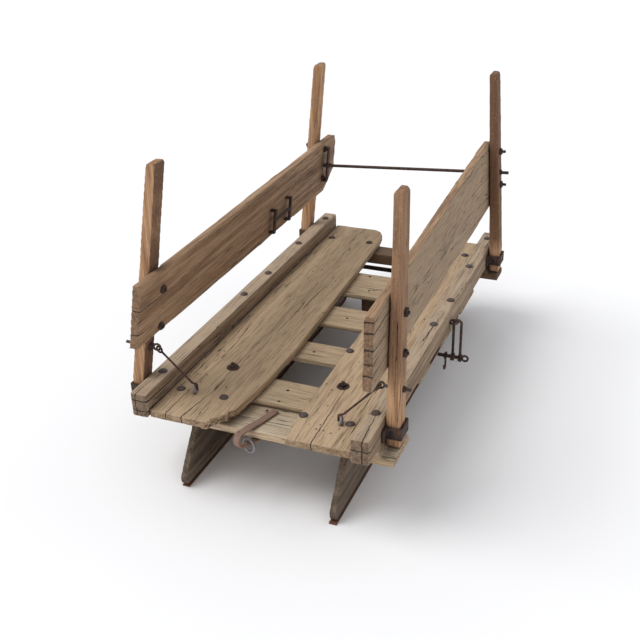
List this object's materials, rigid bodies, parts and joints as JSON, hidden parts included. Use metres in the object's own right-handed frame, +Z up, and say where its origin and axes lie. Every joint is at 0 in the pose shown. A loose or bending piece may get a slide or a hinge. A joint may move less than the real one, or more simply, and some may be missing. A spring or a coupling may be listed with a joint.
{
  "type": "small stake-sided wooden sled",
  "caption": "Weathered wooden sled on iron-shod runners, with a slatted deck and low side boards held by stakes in iron pockets.",
  "frame": {"origin": "on the floor under the middle of the whole sled", "axes": "+Y along the sled from its heel end, with the tow clevis, to its upturned nose end; +X to the right looking along +Y; +Z up"},
  "size_m": [0.5753, 1.015, 0.662],
  "materials": {
    "frame_wood": "weathered, worn, worm-holed",
    "deck_wood": "weathered tan-grey, worn, worm-holed",
    "sideboard_wood": "weathered brown, rough",
    "stake_wood": "worn reddish brown",
    "runner_wood": "dark, dry",
    "block_wood": "dark, dry",
    "shoe_iron": "rusty, rubbed",
    "rusty_strap": "rusted flat iron",
    "pocket_iron": "dark rust",
    "forged_iron": "black-brown forged iron"
  },
  "bodies": {
    "sled": {"left_rail": "frame_wood", "right_rail": "frame_wood", "front_beam": "frame_wood", "rear_beam": "frame_wood", "slat_1": "frame_wood", "slat_2": "frame_wood", "slat_3": "frame_wood", "slat_4": "frame_wood", "left_deck_board": "deck_wood", "right_deck_board": "deck_wood", "nose_rod": "forged_iron", "left_shoe": "shoe_iron", "left_runner": "runner_wood", "right_shoe": "shoe_iron", "right_runner": "runner_wood", "centre_block": "block_wood", "rear_left_pocket": "pocket_iron", "rear_right_pocket": "pocket_iron", "front_left_pocket": "pocket_iron", "front_right_pocket": "pocket_iron", "deck_eyes": "forged_iron", "clevis_bolt": "forged_iron", "tow_clevis": "rusty_strap", "side_eye": "forged_iron"},
    "racks": {"rear_left_stake": "stake_wood", "rear_right_stake": "stake_wood", "front_left_stake": "stake_wood", "front_right_stake": "stake_wood", "rod_keeper": "forged_iron", "end_rod": "forged_iron", "side_keepers": "forged_iron", "stake_eyes": "forged_iron", "left_sideboard": "sideboard_wood", "right_sideboard": "sideboard_wood"},
    "left_brace_hook": {"left_brace_hook": "forged_iron"},
    "right_brace_hook": {"right_brace_hook": "forged_iron"},
    "tow_ring": {"tow_ring": "rusty_strap"},
    "side_shackle": {"side_shackle": "forged_iron", "side_pin": "forged_iron"},
    "side_hook": {"side_hook": "forged_iron"}
  },
  "joints": [
    {"name": "rack_lift", "type": "slide", "parent": "sled", "child": "racks", "axis": [0, 0, 1], "range_m": [0, 0.06]},
    {"name": "left_brace_hook_swing", "type": "hinge", "parent": "racks", "child": "left_brace_hook", "pos_m": [-0.21961, -0.4265, 0.284], "axis": [0.239, -0.971, 0], "range_deg": [0, 80]},
    {"name": "right_brace_hook_swing", "type": "hinge", "parent": "racks", "child": "right_brace_hook", "pos_m": [0.22742, -0.4005, 0.276], "axis": [-0.2066, 0.9784, 0], "range_deg": [0, 80]},
    {"name": "tow_ring_swing", "type": "hinge", "parent": "sled", "child": "tow_ring", "pos_m": [-0.01549, -0.46289, 0.14008], "axis": [0.9563, -0.2924, 0], "range_deg": [-45, 30]},
    {"name": "side_shackle_swing", "type": "hinge", "parent": "sled", "child": "side_shackle", "pos_m": [0.25838, 0.0375, 0.19], "axis": [0, -1, 0], "range_deg": [0, 35]},
    {"name": "side_hook_swing", "type": "hinge", "parent": "side_shackle", "child": "side_hook", "pos_m": [0.23388, 0.0375, 0.102], "axis": [1, 0, 0], "range_deg": [-60, 60]}
  ]
}
